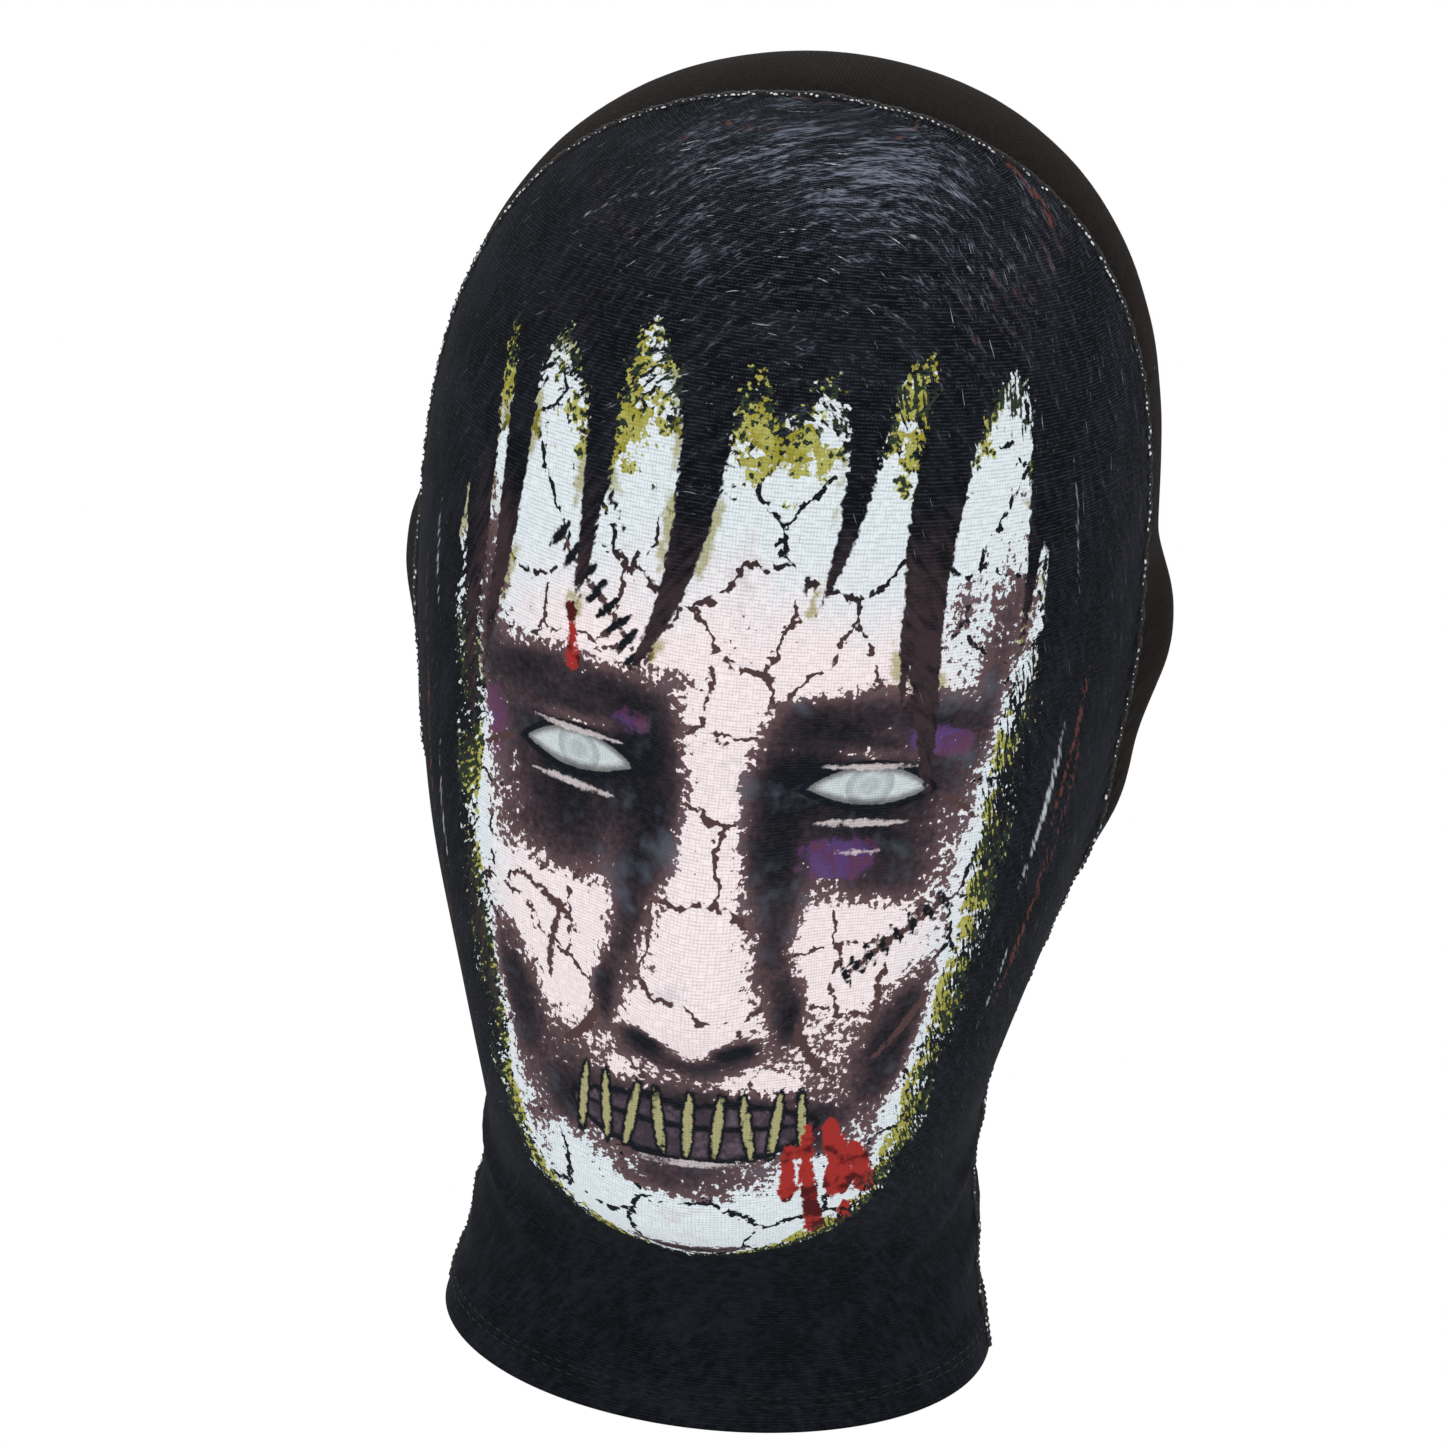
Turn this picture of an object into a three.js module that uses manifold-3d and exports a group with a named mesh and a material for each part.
// Zombie mask: a stretch-fabric hood that is pulled over the whole head.
// A printed front panel and a plain black back panel meet in one overlocked seam, which runs from the neck
// up in front of one ear, over the crown, and down in front of the other ear.
// Millimetres, +Z up. The origin is the inside of the crown, where the hood sits on the head.
// The face looks along -Y, and +X is the wearer's left.
import * as THREE from "three";
import { mergeVertices } from "three/addons/utils/BufferGeometryUtils.js";
import Module from "manifold-3d";

// Driving dimensions of the head that fills the hood
const HEAD_HEIGHT = 231; // crown to chin
const HEAD_BREADTH = 151; // over the temples, without the ears
const HEAD_LENGTH = 197; // brow to back of the head
const NECK_DROP = 49; // chin level to the lower edge of the hood
const FACE_RELIEF = 19; // how far the nose lifts the cloth
const EAR_RELIEF = 8.5; // how far the pressed ears lift the cloth

// Driving dimensions of the cloth
const WALL = 1.2; // both panels
const HEM_HEIGHT = 11; // turned hem along the lower edge
const HEM_STEP = 0.8; // what the turned cloth adds to the wall
const SEAM_WIDTH = 2.4; // the overlocked ridge, across the seam
const SEAM_PROUD = 0.5; // how far the ridge stands out of the panels
const SEAM_INSIDE = 0.8; // the trimmed seam allowance, inside the hood
const SEAM_GAP = 0.3; // clearance between the ridge and each panel
const SEAM_DEPTH_SHIFT = 0; // moves the whole seam towards the back of the head

// Fineness of the facets
const SPOKES = 54; // facets around a level
const RINGS = 35; // facets from the crown to the lower edge
const FACE_CROWDING = 0.3; // how much closer the spokes stand on the face than on average
const EAR_CROWDING = 0.14; // the same for the spokes on the ears
const LEVEL_CROWDING = 0.35; // the same for the rings, on the nose and the mouth
const SEAM_STEPS = 36; // straight stretches along the seam's outline

// Levels of the head form. head is a share of HEAD_HEIGHT and neck a share of NECK_DROP, both measured down.
// half is a share of half HEAD_BREADTH. mid is where the level is widest, and fore and aft are the depths
// in front of it and behind it, all shares of HEAD_LENGTH. taper narrows the front, and is negative where it is broad.
const LEVELS = [
  { head: 0.0, neck: 0.0, half: 0.0, mid: 0.06, fore: 0.0, aft: 0.0, taper: 0.0 },
  { head: 0.026, neck: 0.0, half: 0.44, mid: 0.052, fore: 0.235, aft: 0.205, taper: -0.02 },
  { head: 0.088, neck: 0.0, half: 0.735, mid: 0.04, fore: 0.372, aft: 0.34, taper: -0.05 },
  { head: 0.18, neck: 0.0, half: 0.91, mid: 0.03, fore: 0.452, aft: 0.425, taper: -0.09 },
  { head: 0.285, neck: 0.0, half: 0.985, mid: 0.024, fore: 0.488, aft: 0.468, taper: -0.12 },
  { head: 0.39, neck: 0.0, half: 1.0, mid: 0.018, fore: 0.5, aft: 0.482, taper: -0.12 },
  { head: 0.49, neck: 0.0, half: 0.985, mid: 0.006, fore: 0.482, aft: 0.478, taper: -0.08 },
  { head: 0.585, neck: 0.0, half: 0.95, mid: -0.012, fore: 0.468, aft: 0.464, taper: -0.02 },
  { head: 0.67, neck: 0.0, half: 0.9, mid: -0.03, fore: 0.455, aft: 0.437, taper: -0.04 },
  { head: 0.745, neck: 0.0, half: 0.84, mid: -0.046, fore: 0.436, aft: 0.408, taper: -0.04 },
  { head: 0.82, neck: 0.0, half: 0.775, mid: -0.058, fore: 0.41, aft: 0.388, taper: -0.02 },
  { head: 0.895, neck: 0.0, half: 0.715, mid: -0.06, fore: 0.39, aft: 0.378, taper: 0.03 },
  { head: 0.96, neck: 0.0, half: 0.68, mid: -0.046, fore: 0.355, aft: 0.362, taper: 0.07 },
  { head: 1.0, neck: 0.05, half: 0.675, mid: -0.022, fore: 0.292, aft: 0.34, taper: 0.06 },
  { head: 1.0, neck: 0.34, half: 0.69, mid: -0.004, fore: 0.252, aft: 0.326, taper: 0.02 },
  { head: 1.0, neck: 0.7, half: 0.725, mid: 0.002, fore: 0.255, aft: 0.328, taper: 0.0 },
  { head: 1.0, neck: 1.0, half: 0.765, mid: 0.006, fore: 0.272, aft: 0.338, taper: 0.0 },
  // Below the lower edge, only to be cut away
  { head: 1.0, neck: 1.3, half: 0.8, mid: 0.008, fore: 0.288, aft: 0.348, taper: 0.0 },
  { head: 1.0, neck: 1.5, half: 0.0, mid: 0.008, fore: 0.0, aft: 0.0, taper: 0.0 },
];

// Where the stretched cloth is lifted or dented by the face under it. side is a share of half HEAD_BREADTH, and a row
// with a side is made on both. level, up and down are shares of HEAD_HEIGHT, across of HEAD_BREADTH, push of FACE_RELIEF.
const FACE_FORMS = [
  { name: "brow", side: 0.38, level: 0.437, across: 0.145, up: 0.05, down: 0.034, push: 0.17 },
  { name: "glabella", side: 0.0, level: 0.435, across: 0.08, up: 0.05, down: 0.04, push: 0.1 },
  { name: "socket", side: 0.43, level: 0.5, across: 0.11, up: 0.034, down: 0.052, push: -0.38 },
  { name: "eyeball", side: 0.43, level: 0.503, across: 0.07, up: 0.03, down: 0.03, push: 0.17 },
  { name: "nose", side: 0.0, level: 0.69, across: 0.092, up: 0.17, down: 0.055, push: 1.0 },
  { name: "nostril", side: 0.18, level: 0.702, across: 0.062, up: 0.032, down: 0.028, push: 0.24 },
  { name: "cheekbone", side: 0.64, level: 0.605, across: 0.16, up: 0.07, down: 0.08, push: 0.2 },
  { name: "cheek", side: 0.58, level: 0.775, across: 0.13, up: 0.06, down: 0.07, push: -0.12 },
  { name: "lips", side: 0.0, level: 0.805, across: 0.165, up: 0.034, down: 0.036, push: 0.22 },
  { name: "under_lip", side: 0.0, level: 0.872, across: 0.12, up: 0.026, down: 0.026, push: -0.07 },
  { name: "chin", side: 0.0, level: 0.938, across: 0.125, up: 0.05, down: 0.044, push: 0.36 },
];

// The ears, pressed flat under the cloth. depth is a share of HEAD_LENGTH behind the origin, level, up and down are
// shares of HEAD_HEIGHT, along of HEAD_LENGTH, push of EAR_RELIEF.
const EAR_FORMS = [
  { name: "upper_ear", depth: 0.085, level: 0.475, along: 0.105, up: 0.055, down: 0.075, push: 0.85 },
  { name: "mid_ear", depth: 0.08, level: 0.565, along: 0.09, up: 0.07, down: 0.07, push: 0.45 },
  { name: "ear_lobe", depth: 0.035, level: 0.65, along: 0.075, up: 0.06, down: 0.042, push: 0.62 },
];

// The seam, seen from the side. head and neck are shares as in LEVELS, depth a share of HEAD_LENGTH behind the origin.
const SEAM_LINE = [
  { head: -0.1, neck: 0.0, depth: 0.022 },
  { head: 0.0, neck: 0.0, depth: 0.006 },
  { head: 0.16, neck: 0.0, depth: -0.034 },
  { head: 0.36, neck: 0.0, depth: -0.06 },
  { head: 0.54, neck: 0.0, depth: -0.052 },
  { head: 0.72, neck: 0.0, depth: -0.034 },
  { head: 0.9, neck: 0.0, depth: -0.012 },
  { head: 1.0, neck: 0.5, depth: 0.012 },
  { head: 1.0, neck: 1.2, depth: 0.02 },
];

const LOWER_EDGE = -(HEAD_HEIGHT + NECK_DROP);
const EAR_FLATNESS = 1.35; // the stretched cloth spans the rim of an ear
const NORMAL_STEP = 1e-3; // share of the surface's own directions, for its slope

// A column of LEVELS, read smoothly at a place that counts rows from the crown.
function column(name, place) {
  const first = Math.min(Math.floor(place), LEVELS.length - 2);
  const mirrors = ["half", "fore", "aft"].includes(name) ? -1 : 1;
  const row = (k) => (k < 0 ? mirrors * LEVELS[-k][name] : LEVELS[Math.min(k, LEVELS.length - 1)][name]);
  const [a, b, c, d] = [row(first - 1), row(first), row(first + 1), row(first + 2)];
  const t = place - first;
  return b + 0.5 * t * (c - a + t * (2 * a - 5 * b + 4 * c - d + t * (3 * (b - c) + d - a)));
}

// A soft hill that is 1 at its middle and has its own reach above and below. A flatness over 1 gives it a broad top.
function hill(across, rise, form, reach, flatness) {
  const upright = (rise > 0 ? form.up : form.down) * HEAD_HEIGHT;
  return Math.exp(-(((across / reach) ** 2 + (rise / upright) ** 2) ** flatness));
}

// How far the face pushes the cloth forwards at a place on it.
function facePush(x, z) {
  let push = 0;
  for (const form of FACE_FORMS) {
    const rise = z + form.level * HEAD_HEIGHT;
    const reach = form.across * HEAD_BREADTH;
    for (const side of form.side ? [-1, 1] : [1]) {
      const across = x - (side * form.side * HEAD_BREADTH) / 2;
      push += form.push * FACE_RELIEF * hill(across, rise, form, reach, 1);
    }
  }
  return push;
}

// How far an ear pushes the cloth outwards.
function earPush(y, z) {
  let push = 0;
  for (const form of EAR_FORMS) {
    const rise = z + form.level * HEAD_HEIGHT;
    const reach = form.along * HEAD_LENGTH;
    push += form.push * EAR_RELIEF * hill(y - form.depth * HEAD_LENGTH, rise, form, reach, EAR_FLATNESS);
  }
  return push;
}

// A point of the head form: around runs once about the head from the face, down from the crown to below the neck.
function formPoint(around, down) {
  const fall = THREE.MathUtils.clamp(down, 0, 1);
  const crowded = fall + (LEVEL_CROWDING * Math.sin(2 * Math.PI * fall)) / (2 * Math.PI);
  const place = crowded * (LEVELS.length - 1);
  const turn = 2 * Math.PI * around;
  const angle = turn - FACE_CROWDING * Math.sin(turn) + (EAR_CROWDING / 2) * Math.sin(2 * turn);
  const [side, front] = [Math.sin(angle), Math.cos(angle)];
  const depth = (front > 0 ? column("fore", place) : column("aft", place)) * HEAD_LENGTH;
  const narrow = front > 0 ? 1 - column("taper", place) * front ** 2 : 1;
  const x = column("half", place) * (HEAD_BREADTH / 2) * side * narrow;
  const y = column("mid", place) * HEAD_LENGTH - depth * front;
  const z = -(column("head", place) * HEAD_HEIGHT + column("neck", place) * NECK_DROP);
  const faced = THREE.MathUtils.smoothstep(front, 0, 0.5);
  const sided = THREE.MathUtils.smoothstep(Math.abs(side), 0.4, 0.9) * Math.sign(side);
  return new THREE.Vector3(x + sided * earPush(y, z), y - faced * facePush(x, z), z);
}

// The same point moved outwards by grow.
function grownPoint(around, down, grow) {
  const point = formPoint(around, down);
  const low = THREE.MathUtils.clamp(down, NORMAL_STEP, 1 - NORMAL_STEP);
  const sideways = formPoint(around + NORMAL_STEP, low).sub(formPoint(around - NORMAL_STEP, low));
  const downwards = formPoint(around, low + NORMAL_STEP).sub(formPoint(around, low - NORMAL_STEP));
  const pole = down <= 0 || down >= 1;
  const out = pole ? new THREE.Vector3(0, 0, down <= 0 ? 1 : -1) : downwards.cross(sideways).normalize();
  return point.addScaledVector(out, grow);
}

const wasm = await Module();
wasm.setup();

// A closed geometry as a solid that can be joined and cut.
function solidOf(geometry) {
  geometry.deleteAttribute("normal");
  geometry.deleteAttribute("uv");
  const merged = mergeVertices(geometry, 1e-4);
  return new wasm.Manifold(
    new wasm.Mesh({
      numProp: 3,
      vertProperties: merged.attributes.position.array,
      triVerts: new Uint32Array(merged.index.array),
    }),
  );
}

// A solid back as a geometry, for a mesh.
function geometryOf(solid) {
  const { vertProperties, triVerts } = solid.getMesh();
  const geometry = new THREE.BufferGeometry();
  geometry.setAttribute("position", new THREE.BufferAttribute(vertProperties, 3));
  geometry.setIndex(new THREE.BufferAttribute(triVerts, 1));
  geometry.computeVertexNormals();
  return geometry;
}

// The head form grown by some thickness: a ball whose vertices are drawn onto it.
function headForm(grow) {
  const ball = new THREE.SphereGeometry(1, SPOKES, RINGS);
  const { position, uv } = ball.attributes;
  for (let i = 0; i < position.count; i++) {
    const ring = Math.round((1 - uv.getY(i)) * RINGS) / RINGS;
    const spoke = (Math.round(uv.getX(i) * SPOKES) % SPOKES) / SPOKES;
    position.setXYZ(i, ...grownPoint(spoke, ring, grow));
  }
  return solidOf(ball);
}

// The seam's outline in the side view, moved backwards by some distance.
function seamOutline(behind) {
  const points = SEAM_LINE.map(
    ({ head, neck, depth }) =>
      new THREE.Vector2(
        depth * HEAD_LENGTH + SEAM_DEPTH_SHIFT + behind,
        -(head * HEAD_HEIGHT + neck * NECK_DROP),
      ),
  );
  return new THREE.SplineCurve(points).getPoints(SEAM_STEPS);
}

// A block across the whole head between two outlines in the side view, whose points are (depth, height).
function blockBetween(ahead, behind) {
  const shape = new THREE.Shape([...ahead, ...behind.toReversed()]);
  const block = new THREE.ExtrudeGeometry(shape, { depth: 2 * HEAD_BREADTH, bevelEnabled: false });
  block.translate(0, 0, -HEAD_BREADTH);
  // The extrusion runs along Z: depth goes to Y, height to Z and the length to X.
  block.applyMatrix4(new THREE.Matrix4().set(0, 0, 1, 0, 1, 0, 0, 0, 0, 1, 0, 0, 0, 0, 0, 1));
  return solidOf(block);
}

// A straight outline far in front of the head or far behind it.
function farOutline(depth) {
  const top = seamOutline(0)[0].y;
  const bottom = seamOutline(0).at(-1).y;
  return [new THREE.Vector2(depth, top), new THREE.Vector2(depth, bottom)];
}

// All that lies between two heights.
function heightBlock(low, high) {
  const size = 2 * (HEAD_LENGTH + HEAD_BREADTH);
  return solidOf(new THREE.BoxGeometry(size, size, high - low).translate(0, 0, (low + high) / 2));
}

const inside = headForm(0);
const aboveEdge = heightBlock(LOWER_EDGE, HEAD_HEIGHT);
const turnedHem = headForm(WALL + HEM_STEP)
  .subtract(inside)
  .intersect(heightBlock(LOWER_EDGE, LOWER_EDGE + HEM_HEIGHT));
const cloth = headForm(WALL).subtract(inside).intersect(aboveEdge).add(turnedHem);

const clear = SEAM_WIDTH / 2 + SEAM_GAP;
const frontPanel = cloth.intersect(blockBetween(farOutline(-HEAD_LENGTH), seamOutline(-clear)));
const backPanel = cloth.intersect(blockBetween(seamOutline(clear), farOutline(HEAD_LENGTH)));

const ridgeWall = headForm(WALL + HEM_STEP + SEAM_PROUD)
  .intersect(heightBlock(LOWER_EDGE, LOWER_EDGE + HEM_HEIGHT))
  .add(headForm(WALL + SEAM_PROUD).intersect(aboveEdge))
  .subtract(headForm(-SEAM_INSIDE));
const ridge = ridgeWall.intersect(blockBetween(seamOutline(-SEAM_WIDTH / 2), seamOutline(SEAM_WIDTH / 2)));

const printedCloth = new THREE.MeshStandardMaterial({ color: 0xb9b2b8, roughness: 0.85, metalness: 0 });
const blackCloth = new THREE.MeshStandardMaterial({ color: 0x14110f, roughness: 0.8, metalness: 0 });
const blackThread = new THREE.MeshStandardMaterial({ color: 0x1b1a1c, roughness: 0.7, metalness: 0 });

// A named piece of the hood.
function piece(name, solid, material) {
  const mesh = new THREE.Mesh(geometryOf(solid), material);
  mesh.name = name;
  return mesh;
}

const mask = new THREE.Group();
mask.add(
  piece("front_panel", frontPanel, printedCloth),
  piece("back_panel", backPanel, blackCloth),
  piece("overlock_seam", ridge, blackThread),
);

export default mask;
